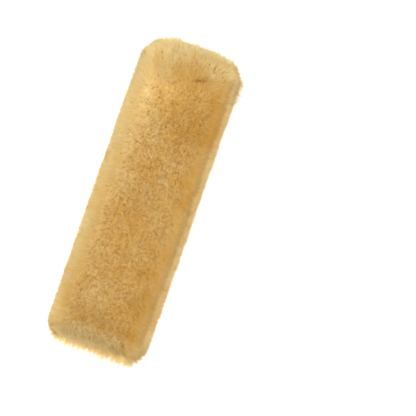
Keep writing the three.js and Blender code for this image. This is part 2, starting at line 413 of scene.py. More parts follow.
PATCHES = [  # place, radius, how much paler and how much darker
    (31.0, 122.0, 12.0, 0.25, -0.03),
    (28.0, 106.0, 12.0, 0.15, 0.00),
    (2.0, 98.0, 20.0, -0.08, 0.08),
    (27.0, 68.0, 17.0, -0.17, 0.05),
    (6.0, 64.0, 11.0, -0.11, 0.00),
    (-14.0, 48.0, 10.0, 0.08, -0.05),
    (12.0, 32.0, 13.0, 0.14, -0.05),
    (23.0, -14.0, 12.0, 0.20, -0.09),
    (16.0, -31.0, 12.0, 0.15, -0.06),
    (-8.0, -11.0, 10.0, -0.10, 0.00),
    (-20.0, -31.0, 14.0, -0.08, -0.02),
    (0.0, -76.0, 14.0, 0.10, 0.00),
    (30.0, -85.0, 16.0, -0.10, 0.05),
    (12.0, -104.0, 9.0, 0.12, 0.00),
    (-9.0, -103.0, 7.0, -0.12, 0.02),
    (-22.0, -120.0, 12.0, 0.10, -0.06),
    (-36.0, -88.0, 24.0, -0.13, 0.04),
]
LONG_TUFTS = [  # place, radius and how much longer, or shorter below 0, the stray fibres are
    (46.0, 118.5, 3.0, 0.9),
    (46.0, 110.0, 4.0, 0.7),
    (46.0, 103.0, 3.0, 0.3),
    (34.0, -132.0, 6.0, 2.2),
    (-42.0, -128.0, 8.0, -0.8),
]
# The corners are rounder than the form: how much shorter the wool is there
CORNER_UPPER_LEFT, CORNER_UPPER_RIGHT, CORNER_LOWER = 5.4, 3.8, 0.4
LOWER_END = 4.4  # and all along the lower end, where the longest wool stands out as a fringe
# How far from the pad's middle that begins, and where all of it is reached
CORNER_Y, CORNER_X, LOWER_Y, LOWER_LEFT_X = (116, 128), (16, 36), (117, 130), (30, 42)
FRONT_Z = (20, 28)  # the heights between which the front begins


def corner_sink(x, y):
    corner = smoothstep(np.abs(y), *CORNER_Y) * smoothstep(np.abs(x), *CORNER_X)
    upper = np.where(x < 0, CORNER_UPPER_LEFT, CORNER_UPPER_RIGHT)
    lower = LOWER_END * smoothstep(-y, *LOWER_Y) * (1 - 0.5 * smoothstep(-x, *LOWER_LEFT_X))
    return corner * np.where(y < 0, CORNER_LOWER, upper) + lower


def places(x, y, z):
    """At places on the front: the depth of partings and dips, how much paler and how much darker
    the wool is there, as its own tone and as painted light and shade, and the way that it is
    parted, as a vector no longer than 1."""
    depth, pale, dim = np.zeros_like(x), np.zeros_like(x), np.zeros_like(x)
    parted = np.zeros((*x.shape, 3))
    front = smoothstep(z, *FRONT_Z)
    for (ax, ay), (bx, by), half, line_depth in PARTINGS:
        length = math.hypot(bx - ax, by - ay)
        ux, uy = (bx - ax) / length, (by - ay) / length
        s = (x - ax) * ux + (y - ay) * uy
        # the line wanders a little, and fades in and out at its ends
        d = (x - ax) * -uy + (y - ay) * ux + 0.4 * np.sin(s * 0.9)
        ends = smoothstep(s, -1.5, 2.5) * (1 - smoothstep(s, length - 2.5, length + 1.5))
        near = np.exp(-((d / half) ** 2)) * ends * front
        line = np.exp(-((d / (0.5 * half)) ** 2)) * ends * front
        depth += line_depth * line
        lean = near * np.sign(d)
        parted += np.stack([-uy * lean, ux * lean, 0 * lean], -1)
        # painted light on the ridge below the line, and painted shade along it
        pale += PARTING_LIT * near * (d < 0) - LINE_GOLDEN * line
        dim += LINE_SHADE * line
    # painted shade in the dips
    for at_x, at_y, radius in SHADED_DIPS:
        near = spot(x, y, at_x, at_y, radius) * front
        depth += DIP_DEPTH * near
        pale -= DIP_GOLDEN * near
        dim += DIP_SHADE * near
    # painted highlights on the tufts
    for at_x, at_y, radius in LIT_TUFTS:
        near = spot(x, y, at_x, at_y, radius) * front
        depth -= TUFT_RISE * near
        pale += TUFT_HIGHLIGHT * near
    for at_x, at_y, radius, paler, darker in PATCHES:
        near = spot(x, y, at_x, at_y, radius)
        pale += paler * near
        dim += darker * near
    return depth, pale, dim, parted


# Underwool: the dense core under the fibres
CORE_DEPTH = 4.2  # under the wool's tips
CORE_LUMPS = 0.6
CORE_THINNEST = 0.12  # the least share of the wool's length that it fills
CORE_REST = 1.2  # its lowest height
CORE_ROOT = 0.02  # off the leather
BLACKEST_DIP = 6  # the depth at which the painted shade at a dip's bottom is darkest


def wool_core():
    core_i = np.arange(0, AROUND + 1, 4)
    core_j = np.unique(np.concatenate([np.arange(0, len(rings), 2), [len(rings) - 1]]))
    grid = np.ix_(core_i, core_j)
    tip, root = tips[grid], roots[grid]
    reach = np.linalg.norm(tip - root, axis=-1, keepdims=True)
    lump = CORE_LUMPS * smooth_noise(tip, 3.5, seed=3)[..., None]
    under = CORE_DEPTH + lump + corner_sink(tip[..., 0], tip[..., 1])[..., None]
    outer = root + (tip - root) * np.maximum(CORE_THINNEST, 1 - under / reach)
    dip = places(*np.moveaxis(tip, -1, 0))[0]
    outer -= outward[grid] * dip[..., None]
    outer[..., 2] = np.maximum(outer[..., 2], CORE_REST)
    inner = root + CORE_ROOT * (tip - root) / reach
    core = mesh_object(
        "wool_core",
        np.concatenate([outer.reshape(-1, 3), inner.reshape(-1, 3)]),
        [slab_faces(outer.shape[0], outer.shape[1])],
        UNDERWOOL,
    )
    # painted shade on the core, darkest at the bottoms of deep dips and partings, and on its hidden
    # inner face
    darkest = np.clip(dip / BLACKEST_DIP, 0, 1).ravel()
    set_attribute(core.data, "dip_shade", np.concatenate([darkest, np.ones(len(darkest))]))
    return core


core = wool_core()
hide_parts("sheepskin")

# How the wool lies on each part of the pad
LIE = {
    #            front side  back  upper lower end
    "radius": (1.15, 1.30, 1.90, 1.30, 1.40),  # of a clump, at its roots
    "drift": (0.60, 0.45, 1.20, 0.50, 0.60),  # that neighbouring clumps share
    "scatter": (0.45, 0.40, 0.80, 0.50, 0.55),  # of each clump's tip
    "nap": (0.80, 0.80, 2.00, 0.00, 0.30),  # how far tips lie down the pad
    "swell": (0.30, 0.55, 0.30, 0.40, 0.50),  # wide rises and falls
    "uneven": (0.20, 0.25, 0.40, 0.35, 0.50),  # how clumps differ in height
    "clumping": (0.22, 0.15, 0.35, 0.40, 0.75),  # how far tips draw together
    "loose": (0.35, 0.35, 0.40, 0.40, 0.28),  # how far single tips stray
    "shown": (5.00, 6.50, 6.00, 7.00, 11.0),  # how much of a fibre is made
    "sunk": (0.00, 0.70, 0.00, 1.20, 1.40),  # under the form
    "reach": (0.00, 0.00, 0.00, 2.00, 0.00),  # past the form, along the pad
    "stray": (0.25, 0.80, 0.60, 1.80, 4.20),  # the mean of how much longer a fibre is
    "tufted": (0.40, 0.40, 0.40, 0.70, 0.72),  # how much of that its whole clump shares
    "crimp": (0.35, 0.25, 0.40, 0.30, 0.25),  # the height of a fibre's waves
    "curl": (2.00, 1.30, 2.20, 1.60, 0.70),  # how far its tip bends over
    "width": (0.15, 0.14, 0.23, 0.14, 0.14),  # half of a fibre's
    "shade": (0.55, 0.50, 0.45, 0.75, 0.70),  # how far up its colours, with their painted shade towards the roots, its lower end starts
}
LONGEST = 10.5  # the most that straying makes a fibre longer
FIBRE_POINTS = 4
WAVES = 1.3  # to a fibre
TAPER = 0.6  # a fibre's width before its tip, as a share of that at its lower end
LENGTH_SPREAD = 0.25
POINT_POWER = 0.85  # spaces a fibre's points closer towards its tip
CURL_POWER = 2.4  # how late along a fibre its tip bends over
CURL_RANGE, WIDTH_RANGE = (0.6, 1.3), (0.75, 1.25)  # how fibres differ
CURL_INWARD = 0.3  # how far they curl back into the wool
TWIST = 0.35  # how far a fibre's flat side turns away from the outside
PARTED_ASIDE = 0.6  # how far a parting moves a fibre's end
# How squarely the form has to face that way to begin, and to be all, an end, the back or a side
END_FACING, BACK_FACING, SIDE_FACING = (0.15, 0.85), (0.3, 0.8), (0.3, 0.75)

# Where along the pad the nap turns up, and how far from its middle the wool is combed up and down
NAP_TURNS, COMBED_UP, COMBED_DOWN = (45, 125), (70, 126), (104, 130)
CURLY_HALF = 10  # half the width of the curly middle
CURLY_WIDER = 12  # to its left, low on the pad
CURLY_WANDER = 3
COMBED_EDGE = 44  # where the wool is combed straight outwards
CURLY_Y, FULLEST = (-30, 40), (62, 110)  # where the middle widens, and the wool gets fuller

# How the wool's colour changes across the pad and along it: the places, and the values there. The
# tint goes from golden to pale wool, and the second table of each pair scales how far up its
# colours a fibre starts and ends. Together they paint light from the upper left and shade away from
# it, over the wool's own paler rims: paler towards the left edge and the upper end, duller along
# the left edge, and darker in bands inside the right edge and towards both ends.
ACROSS_TINT_AND_LIGHT = (
    (-43, -40, -37, -33, -22, 0, 15, 25, 32, 37, 40, 42, 44),
    (0.86, 0.76, 0.62, 0.54, 0.51, 0.34, 0.31, 0.27, 0.23, 0.31, 0.44, 0.66, 0.75),
)
ACROSS_PAINTED_LIGHT = (
    (-44, -42, -37, -33, -30, -24, -13, 0, 13, 20, 25)
    + (30, 34, 37, 39, 40.5, 42),
    (0.57, 0.58, 0.59, 0.73, 0.91, 1, 0.97, 0.94, 0.92, 0.85, 0.77)
    + (0.65, 0.57, 0.55, 0.37, 0.27, 0.76),
)
ALONG_TINT_AND_LIGHT = (
    (-136, -132, -128, -123, -119, -112, -50, -17)
    + (20, 50, 84, 112, 120, 127, 134),
    (0.60, 0.45, 0.35, 0.36, 0.34, 0.00, 0.04, -0.06)
    + (0.00, 0.08, 0.02, 0.06, 0.12, 0.38, 0.60),
)
ALONG_PAINTED_LIGHT = (
    (-134, -132, -129, -126, -123, -119, -112, -100)
    + (-90, 95, 105, 114, 127, 131, 137),
    (1.00, 0.95, 0.64, 0.48, 0.46, 0.61, 0.68, 0.83)
    + (0.95, 1.00, 0.78, 0.64, 0.63, 0.56, 0.74),
)
RIM_LOW, RIM_HIGH = 11, 23  # the heights between which these colours fade in
HIDDEN_TINT, HIDDEN_BRIGHT = 0.45, 0.85  # below the rim
PALEST_LOWER, PALEST_UPPER = 0.70, 0.99  # the palest that the two tables together make it
TINT_OF_CLUMP, TINT_OF_FIBRE = 0.05, 0.09  # how much these differ


def zones(tip, out):
    """How far clumps belong to the front, sides, back, upper and lower end."""
    end = smoothstep(np.abs(out[:, 1]), *END_FACING)
    back = (1 - end) * smoothstep(-out[:, 2], *BACK_FACING)
    side = (1 - end - back).clip(0) * smoothstep(np.abs(out[:, 0]), *SIDE_FACING)
    upper = end * (tip[:, 1] > 0)
    return np.stack([1 - end - back - side, side, back, upper, end - upper], 1)


def lie_at(tip, weights):
    """How clumps lie: LIE's values there, how far the nap lies down the pad, the way that the wool
    is combed and how strictly."""
    x, y, _ = tip.T
    front = weights[:, 0]
    of = {key: weights @ np.array(values) for key, values in LIE.items()}
    of["sunk"] += corner_sink(x, y)
    for at_x, at_y, radius, longer in LONG_TUFTS:
        of["stray"] += longer * spot(x, y, at_x, at_y, radius)
    # the nap lies down the pad, and turns up little by little towards the upper end. The wool is
    # curly in the middle of the front, and combed outwards towards the pad's edges
    downward = 1 - 1.4 * smoothstep(y, *NAP_TURNS)
    combed = np.zeros((len(tip), 3))
    curly = CURLY_HALF + CURLY_WIDER * smoothstep(-y, *CURLY_Y) * (x < 0)
    curly = curly + CURLY_WANDER * smooth_noise(tip, 18, seed=43)
    combed[:, 0] = np.sign(x) * smoothstep(np.abs(x), curly, COMBED_EDGE)
    combed[:, 1] = smoothstep(y, *COMBED_UP) - 0.8 * smoothstep(-y, *COMBED_DOWN)
    order = np.clip(np.linalg.norm(combed, axis=1), 0, 1)
    # where the front's wool is combed, it lies flatter and more evenly
    even = order * front
    of["curl"] += 1.3 * even
    of["crimp"] *= 1 - 0.4 * even
    of["clumping"] *= 1 - 0.8 * even
    of["radius"] *= 1 + 0.25 * even
    of["uneven"] *= 1 - 0.3 * even
    # and it is fullest towards the upper left
    fuller = front * smoothstep(y - 0.8 * x, *FULLEST)
    of["width"] *= 1 + 0.35 * fuller
    # the fibres' lower ends are paler there, with less painted shade between them
    of["shade"] += 0.22 * fuller
    of["curl"] += 0.8 * fuller
    return of, downward, combed, order[:, None]


def colour_at(tip, owner, ends, pale, dim, lower_shade):
    """The tint and shade of fibres that end at ends, in clumps with those tips."""
    tint = 0.08 * smooth_noise(tip, 26, seed=31) + 0.15 * smooth_noise(tip, 9, seed=32)
    tint = (tint + rng.normal(0, TINT_OF_CLUMP, len(tip)))[owner]
    tint = tint + rng.normal(0, TINT_OF_FIBRE, len(owner)) + pale
    x, y, z = ends.T.copy()
    seen = smoothstep(z, RIM_LOW, RIM_HIGH)
    # the borders between these zones wander
    x += 1.3 * smooth_noise(tip, 13, seed=41)[owner]
    y += 1.5 * smooth_noise(tip, 13, seed=42)[owner]
    # painted light from the upper left and shade away from it, over the wool's own paler rims
    across_tint_and_light = np.interp(x, *ACROSS_TINT_AND_LIGHT)
    both = across_tint_and_light + np.interp(y, *ALONG_TINT_AND_LIGHT)
    palest = np.where(y < 0, np.maximum(across_tint_and_light, PALEST_LOWER), PALEST_UPPER)
    tint += np.minimum(both, palest) * seen
    tint += HIDDEN_TINT * (1 - seen)
    # the painted shade line inside the right edge dies out towards the corners
    painted_light_across = np.maximum(
        np.interp(x, *ACROSS_PAINTED_LIGHT),
        0.62 * smoothstep(np.abs(y), 106, 122) + 0.33 * smoothstep(np.abs(y), 127, 133),
    )
    bright = np.minimum(painted_light_across, np.interp(y, *ALONG_PAINTED_LIGHT)) * seen
    bright += HIDDEN_BRIGHT * (1 - seen)
    dim = dim + 0.05 * smooth_noise(tip, 7, seed=33)[owner]
    return tint, np.stack([lower_shade, np.ones(len(owner))], 1) * (bright * (1 - dim))[:, None]


def grow(u, v, per_clump, past=0.0):
    """Fibres of the clumps at (u, v), longer than the wool there by past. Returns points, side,
    width, tint and shade."""
    n = len(u)
    tip_c, _, out_c = on_form(u, v)
    of, downward, combed, order = lie_at(tip_c, zones(tip_c, out_c))

    owner = np.repeat(np.arange(n), per_clump)
    m = len(owner)
    r = of["radius"][owner] * np.sqrt(rng.uniform(0, 1, m))
    a = rng.uniform(0, 2 * np.pi, m)
    tip_f, root_f, out_f = on_form(u[owner] + r * np.cos(a), v[owner] + r * np.sin(a))

    # the clump's tip, moved by the nap, by a drift that neighbours share and by a height
    drift = np.stack([smooth_noise(tip_c, 9, seed) for seed in (11, 12, 13)], 1)
    move = drift * of["drift"][:, None] + rng.normal(0, 1, (n, 3)) * of["scatter"][:, None]
    depth, pale, dim, parted = places(*tip_f.T)
    move[:, 1] -= of["nap"] * downward
    move -= (move * out_c).sum(1, keepdims=True) * out_c
    swell = smooth_noise(tip_c, 14, seed=21) + 0.4 * smooth_noise(tip_c, 6, seed=22)
    height = of["swell"] * swell + rng.normal(0, 1, n) * of["uneven"]
    clump_tip = tip_c + move + out_c * height[:, None]
    hold = of["clumping"][owner][:, None]
    target = (tip_f + move[owner] + out_f * height[owner][:, None]) * (1 - hold)
    target += clump_tip[owner] * hold + PARTED_ASIDE * parted - out_f * depth[:, None]
    target += rng.normal(0, 1, (m, 3)) * of["loose"][owner][:, None]
    away = unit(target - root_f)
    # part of a fibre's extra length is its whole clump's, so that the longest stand in tufts
    shared = of["tufted"][owner]
    longer = (1 - shared) * rng.exponential(1.0, m) + shared * rng.exponential(1.0, n)[owner]
    extra = longer * of["stray"][owner] + rng.normal(0, LENGTH_SPREAD, m)
    extra = np.minimum(extra, LONGEST) - of["sunk"][owner] + past
    target += away * extra[:, None]
    target[:, 1] += np.sign(target[:, 1]) * of["reach"][owner]
    away = unit(target - root_f)

    length = np.linalg.norm(target - root_f, axis=1)
    start = target - away * np.minimum(length, of["shown"][owner] + extra.clip(0))[:, None]
    t = (np.linspace(0, 1, FIBRE_POINTS) ** POINT_POWER)[None, :, None]
    points = start[:, None] + (target - start)[:, None] * t
    # the tips of a clump curl over together, and its fibres wave across the way that they curl
    swing = rng.normal(0, 1, (n, 3)) + 0.8 * drift
    swing[:, 1] -= 0.6 * downward
    swing = unit(swing) * (1 - 0.75 * order) + unit(combed) * order
    swing = unit(swing - (swing * out_c).sum(1, keepdims=True) * out_c)
    across = np.cross(out_c, swing)
    phase = rng.uniform(0, 2 * np.pi, n)[owner] + rng.normal(0, 0.6, m)
    wave = np.sin(2 * np.pi * WAVES * t[..., 0] + phase[:, None])
    wave -= np.sin(phase)[:, None] * (1 - t[..., 0])
    wave *= of["crimp"][owner][:, None]
    points += across[owner][:, None] * wave[..., None] * np.sqrt(t)
    curl = swing[owner] + 0.5 * (1 - 0.4 * order[owner]) * rng.normal(0, 1, (m, 3))
    curl = curl * (1 - np.linalg.norm(parted, axis=1))[:, None] + 0.5 * parted
    curl = (curl - CURL_INWARD * out_f) * (of["curl"][owner] * rng.uniform(*CURL_RANGE, m))[:, None]
    points += curl[:, None] * t**CURL_POWER
    # a fibre shows its width to the outside where it lies over
    lying = points[:, -1] - points[:, -3]
    side = unit(np.cross(lying, out_f)) + TWIST * rng.normal(0, 1, (m, 3))
    side = unit(side - (side * away).sum(1, keepdims=True) * away)
    half = of["width"][owner] * rng.uniform(*WIDTH_RANGE, m)
    width = half[:, None] * np.linspace(1, TAPER, FIBRE_POINTS - 1)[None]
    tint, shade = colour_at(tip_c, owner, points[:, -1], pale, dim, of["shade"][owner])
    return points, side, width, tint, shade


TINT_SPREAD = 0.004  # between a ribbon's two edges


def add_strands(name, points, side, width, tint, shade):
    """Ribbons along points (n, k, 3), the last of each row its tip. side is the direction of their
    width, width the half-width at each point but the last. tint goes from dark to pale wool, and
    shade holds where in the wool's colours, from its roots at 0 to its tips at 1, each ribbon
    starts and ends."""
    n, k, _ = points.shape
    left = points[:, :-1] - side[:, None] * width[:, :, None]
    right = points[:, :-1] + side[:, None] * width[:, :, None]
    verts = np.concatenate([left, right, points[:, -1:]], axis=1)
    verts[..., 2] = np.maximum(verts[..., 2], REST)
    per = 2 * (k - 1) + 1
    base = (np.arange(n) * per)[:, None]
    quads = np.concatenate(
        [base + np.array([[s, s + k - 1, s + k, s + 1]]) for s in range(k - 2)], axis=0
    )
    tris = base + np.array([[k - 2, 2 * k - 3, per - 1]])
    me = mesh_object(name, verts.reshape(-1, 3), [quads, tris], WOOL).data
    along_t = np.linspace(0, 1, k)
    tip = np.concatenate([along_t[:-1], along_t[:-1], [1.0]])
    shift = np.concatenate([np.full(k - 1, -TINT_SPREAD), np.full(k - 1, TINT_SPREAD), [0.0]])
    low, high = shade[:, :1], shade[:, 1:]
    tip_all = (low + (high - low) * tip).ravel().astype(np.float32)
    tint_all = (np.repeat(np.clip(tint, 0.01, 0.99), per) + np.tile(shift, n)).astype(np.float32)
    set_attribute(me, "tip", tip_all)
    set_attribute(me, "tint", tint_all)
    # the colour depends on these two alone, so they also make the map that it is baked on
    uv = me.uv_layers.new(name="OFBake")
    index = np.zeros(len(me.loops), np.int32)
    me.loops.foreach_get("vertex_index", index)
    pair = np.stack([tint_all[index], 0.01 + 0.98 * tip_all[index]], 1).astype(np.float32)
    uv.data.foreach_set("uv", pair.ravel())


JITTER = 0.38  # of the pitch


def lattice(u0, u1, v0, v1, pitch):
    """Jittered rows of clumps over a part of the form."""
    rows = np.arange(v0 + pitch / 2, v1, pitch * 0.866)
    us, vs = [], []
    for k, v in enumerate(rows):
        u = np.arange(u0 + pitch * (0.25 + 0.5 * (k % 2)), u1, pitch)
        us.append(u)
        vs.append(np.full(len(u), v))
    u, v = np.concatenate(us), np.concatenate(vs)
    u = u + rng.uniform(-JITTER, JITTER, len(u)) * pitch
    v = v + rng.uniform(-JITTER, JITTER, len(v)) * pitch
    return np.clip(u, u0, u1), np.clip(v, v0, v1)


# Where the form's sides begin, round the grid from the slit
RIGHT_LOW, RIGHT_HIGH = PERIMETER * 0.11, PERIMETER * 0.25
LEFT_HIGH, LEFT_LOW = PERIMETER * 0.635, PERIMETER * 0.775
END_V = 30.0  # the length of the form's end pieces, along it
UPPER_V = LENGTH - END_V
THIRD = END_V + (LENGTH - 2 * END_V) / 3

REGIONS = [
    # name, u range, v range, pitch of clumps, fibres to a clump
    ("wool_front_lower", RIGHT_HIGH, LEFT_HIGH, END_V, THIRD, 1.45, 7),
    ("wool_front_middle", RIGHT_HIGH, LEFT_HIGH, THIRD, LENGTH - THIRD, 1.45, 7),
    ("wool_front_upper", RIGHT_HIGH, LEFT_HIGH, LENGTH - THIRD, UPPER_V, 1.45, 7),
    ("wool_right", RIGHT_LOW, RIGHT_HIGH, END_V, UPPER_V, 2.1, 9),
    ("wool_left", LEFT_HIGH, LEFT_LOW, END_V, UPPER_V, 2.1, 9),
    ("wool_back_right", 0.0, RIGHT_LOW, END_V, UPPER_V, 3.3, 9),
    ("wool_back_left", LEFT_LOW, PERIMETER, END_V, UPPER_V, 3.3, 9),
    ("wool_end_lower", 0.0, PERIMETER, 0.0, END_V, 1.75, 8),
    ("wool_end_upper", 0.0, PERIMETER, UPPER_V, LENGTH, 1.75, 8),
]
# and single long fibres past the pad's outline
WHISKERS = [
    # name, the way that they stand, from y, to y, at most how many, how much longer than the wool
    ("wool_whiskers_right", (1, 0, 0), 95.0, 127.0, 340, 5.4),
    ("wool_whiskers_lower", (0, -1, 0), -150.0, -110.0, 1300, 3.8),
]
TRIALS = 80000  # places drawn for them
EDGE = 0.9  # how squarely the form has to face that way
WHISKER_FADE = 12.0  # over which they get shorter towards the ends of their range
WHISKER_RANGE = (0.1, 1.7)  # how they differ in length
WHISKER_SHADE = 0.75  # the darkest that they are

for name, u0, u1, v0, v1, pitch, fibres in REGIONS:
    add_strands(name, *grow(*lattice(u0, u1, v0, v1, pitch), fibres))

for name, way, y0, y1, number, longer in WHISKERS:
    u, v = rng.uniform(0, PERIMETER, TRIALS), rng.uniform(0, LENGTH, TRIALS)
    tip_w, _, out_w = on_form(u, v)
    facing = (out_w @ way > EDGE) & (tip_w[:, 1] > y0) & (tip_w[:, 1] < y1)
    u, v, whisker_y = u[facing][:number], v[facing][:number], tip_w[facing][:number, 1]
    fading = np.clip(np.minimum(whisker_y - y0, y1 - whisker_y) / WHISKER_FADE, 0, 1)
    past = longer * fading * rng.uniform(*WHISKER_RANGE, len(u))
    points, side, width, tint, shade = grow(u, v, 1, past)
    add_strands(name, points, side, width, tint, np.maximum(shade, WHISKER_SHADE))


# Leather, lining and strips
def end_stations(half_length, step, edge=0.5):
    """Places along the belt, closer at the ends, where the edges are rounded."""
    run = np.linspace(-half_length + edge, half_length - edge, int(2 * half_length / step))
    close = np.array([half_length - 0.15 * edge, half_length])
    return np.concatenate([-close[::-1], run, close])


PINCH_END, PINCH_NEXT, PINCH_SIDE = 0.5, 0.82, 0.6  # how thick a sheet's rounded edges are


def sheet_between(name, low_path, high_path, stations, mat, slot, shape=None):
    """A sheet between two paths of equally many points, with its edges rounded over. shape moves
    the two grids of points before they are joined."""
    grids = []
    for path in (low_path, high_path):
        grid = np.zeros((len(path), len(stations), 3))
        grid[..., 0], grid[..., 2] = path[:, None, 0], path[:, None, 1]
        grid[..., 1] = stations[None]
        grids.append(grid)
    if shape:
        shape(*grids)
    middle = (grids[0] + grids[1]) / 2
    pinch = np.ones(grids[0].shape[:2])
    pinch[:, [0, -1]] *= PINCH_END
    pinch[:, [1, -2]] *= PINCH_NEXT
    pinch[[0, -1], :] *= PINCH_SIDE
    low, high = (middle + (g - middle) * pinch[..., None] for g in grids)
    points = np.concatenate([low.reshape(-1, 3), high.reshape(-1, 3)])
    return mesh_object(name, points, [slab_faces(*low.shape[:2])], mat)


CUT_INSET, CUT_WAVER = 0.2, 0.35


def cut_edge(low, high):
    """The leather's ends are cut by hand, so they waver."""
    for grid in (low, high):
        at = np.stack([grid[..., 0], 0 * grid[..., 1], grid[..., 2]], -1)
        near_end = smoothstep(np.abs(grid[..., 1]), 110, 125)
        waver = CUT_WAVER * smooth_noise(at, 9, seed=41) * near_end
        grid[..., 1] -= np.sign(grid[..., 1]) * (CUT_INSET + waver)


hide = sheet_between(
    "hide",
    wrap_path(-HIDE, -FLAP_EDGE, FLAP_EDGE, 2.5),
    wrap_path(0, -FLAP_EDGE, FLAP_EDGE, 2.5),
    end_stations(HIDE_HALF_LENGTH, 4.0),
    SUEDE,
    "hide",
    cut_edge,
)
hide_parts("sheepskin")

HEM = 7.0  # the lining's turned end
HEM_RISE = 0.45
HEM_EDGE = 0.6  # half the length over which it rises
RIPPLE, PUCKER = 0.22, 0.10
LINING_START = -FLAP_EDGE + 1.5
LINING_END = -TAPE_HALF_WIDTH - SEAT_GAP
STITCH_PITCH = 3.0


def hemmed(low, high):
    """The lining's ends are turned under, and it ripples a little between its stitches."""
    into = unit(high - low)
    hem_at = LINING_HALF_LENGTH - HEM
    hem = smoothstep(np.abs(high[..., 1]), hem_at - HEM_EDGE, hem_at + HEM_EDGE)
    at = np.stack([high[..., 0], high[..., 1] * 0.35, high[..., 2]], -1)
    ripple = RIPPLE * smooth_noise(at, 6, seed=51) * (1 - hem)
    steps = np.diff(high[:, 0], axis=0, prepend=high[:1, 0])
    round_pad = np.cumsum(np.linalg.norm(steps, axis=1))
    pucker = PUCKER * np.cos(2 * np.pi * round_pad / STITCH_PITCH)[:, None] * hem
    high += into * (HEM_RISE * hem + ripple - pucker)[..., None]


lining_low = wrap_path(SEAT_GAP, LINING_START, LINING_END)
lining_high = wrap_path(SEAT_GAP + LINING, LINING_START, LINING_END)
lining = sheet_between(
    "lining_cloth",
    lining_low,
    lining_high,
    end_stations(LINING_HALF_LENGTH, 4.0),
    TRICOT,
    "lining",
    hemmed,
)
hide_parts("lining")

# The two strips: a woven base with bare selvedges, and on it rows of hooks or of loops
TAPE_BASE = 0.6
SELVEDGE = 1.5
HOOK_LOW, HOOK_HIGH = 10.5, 11.9
LOOP_LOW, LOOP_HIGH = 12.2, 13.8
TUBE_END = 0.55  # a tube's radius at its ends, as a share of that between them


def tape(name, low, high, mat, slot):
    inner = TAPE_HALF_WIDTH - 0.2
    x = np.concatenate([[-TAPE_HALF_WIDTH], np.linspace(-inner, inner, 8), [TAPE_HALF_WIDTH]])
    paths = [np.stack([x, np.full_like(x, z)], 1)[::-1] for z in (low, high)]
    return sheet_between(name, *paths, end_stations(TAPE_HALF_LENGTH, 3.0, 0.4), mat, slot)


def tubes(name, centres, radius, sides, mat):
    """Closed tubes that narrow at both ends, along centres (n, k, 3)."""
    n, k, _ = centres.shape
    t = unit(np.gradient(centres, axis=1))
    a = unit(np.cross(t, np.array([0.31, 0.17, 0.94])))
    b = np.cross(t, a)
    turns = np.arange(sides) / sides * 2 * np.pi
    r = np.full(k, radius)
    r[[0, -1]] *= TUBE_END
    off = a[:, :, None] * np.cos(turns)[None, None, :, None]
    off = off + b[:, :, None] * np.sin(turns)[None, None, :, None]
    verts = (centres[:, :, None] + off * r[None, :, None, None]).reshape(-1, 3)
    base = (np.arange(n) * k * sides)[:, None, None]
    ring = (np.arange(k - 1) * sides)[None, :, None] + np.arange(sides)[None, None]
    ahead = (np.arange(k - 1) * sides)[None, :, None] + (np.arange(sides) + 1)[None, None] % sides
    quads = np.stack([base + ring, base + ahead, base + ahead + sides, base + ring + sides], -1)
    first = base[:, 0] + np.arange(sides)[None, ::-1]
    last = base[:, 0] + (k - 1) * sides + np.arange(sides)[None]
    return mesh_object(name, verts, [quads.reshape(-1, 4), first, last], mat)


hook_base = tape("hook_tape", HOOK_LOW, HOOK_LOW + TAPE_BASE, HOOK_TAPE, "hook_tape")
loop_base = tape("loop_tape", LOOP_HIGH - TAPE_BASE, LOOP_HIGH, LOOP_TAPE, "loop_tape")
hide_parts("hook_strip")
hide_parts("loop_strip")


def field(pitch_x, pitch_y):
    """Places in rows over a strip, inside its selvedges."""
    half_x = TAPE_HALF_WIDTH - SELVEDGE - 0.4
    half_y = TAPE_HALF_LENGTH - 1.2
    x, y = np.meshgrid(
        np.linspace(-half_x, half_x, int(2 * half_x / pitch_x) + 1),
        np.linspace(-half_y, half_y, int(2 * half_y / pitch_y) + 1),
    )
    return x.ravel(), y.ravel()


HOOK_RADIUS, LOOP_RADIUS = 0.11, 0.09
HOOKS_IN_ROW = 8
HOOK_X = np.array([-0.35, -0.38, -0.15, 0.25, 0.38])
HOOK_Z = np.array([-0.15, 0.45, 0.88, 0.88, 0.5])  # as a share of its height
LOOP_ROOT = 0.1  # in the base


def hook_points():
    """Hooks that point left and right in turns, row by row."""
    x, y = field(2.2, 3.0)
    way = np.where((np.arange(len(x)) // HOOKS_IN_ROW) % 2 == 0, 1.0, -1.0)
    rise = HOOK_Z * (HOOK_HIGH - HOOK_LOW - TAPE_BASE)
    hooks = np.zeros((len(x), len(HOOK_X), 3))
    hooks[..., 0] = x[:, None] + way[:, None] * HOOK_X[None]
    hooks[..., 1] = y[:, None] + rng.normal(0, 0.06, (len(x), 1))
    hooks[..., 2] = HOOK_LOW + TAPE_BASE + rise[None]
    return hooks


def loop_points():
    x, y = field(2.1, 3.0)
    turned = rng.uniform(0, np.pi, len(x))
    angle = np.linspace(0.05, np.pi - 0.05, 6)
    wide = rng.uniform(0.45, 0.75, len(x))
    tall = rng.uniform(0.7, 0.98, len(x)) * (LOOP_HIGH - LOOP_LOW - TAPE_BASE)
    loops = np.zeros((len(x), len(angle), 3))
    loops[..., 0] = x[:, None] + (np.cos(turned) * wide)[:, None] * np.cos(angle)[None]
    loops[..., 1] = y[:, None] + (np.sin(turned) * wide)[:, None] * np.cos(angle)[None]
    drop = (tall + LOOP_ROOT)[:, None] * np.sin(angle)[None]
    loops[..., 2] = LOOP_HIGH - TAPE_BASE + LOOP_ROOT - drop
    return loops


hook_rows = tubes("hooks", hook_points(), HOOK_RADIUS, 3, HOOK_TAPE)
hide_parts("hook_strip")
loop_rows = tubes("loops", loop_points(), LOOP_RADIUS, 3, LOOP_TAPE)
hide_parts("loop_strip")

# Sewing
STITCH_LENGTH = 2.2
STITCH_RADIUS = 0.22
STITCH_LIFT, STITCH_SINK = 0.16, 1.8
HEM_SEAM_INSET = 3.0  # from the lining's ends
TAPE_SEAM_INSET = 0.8  # from the strips' edges


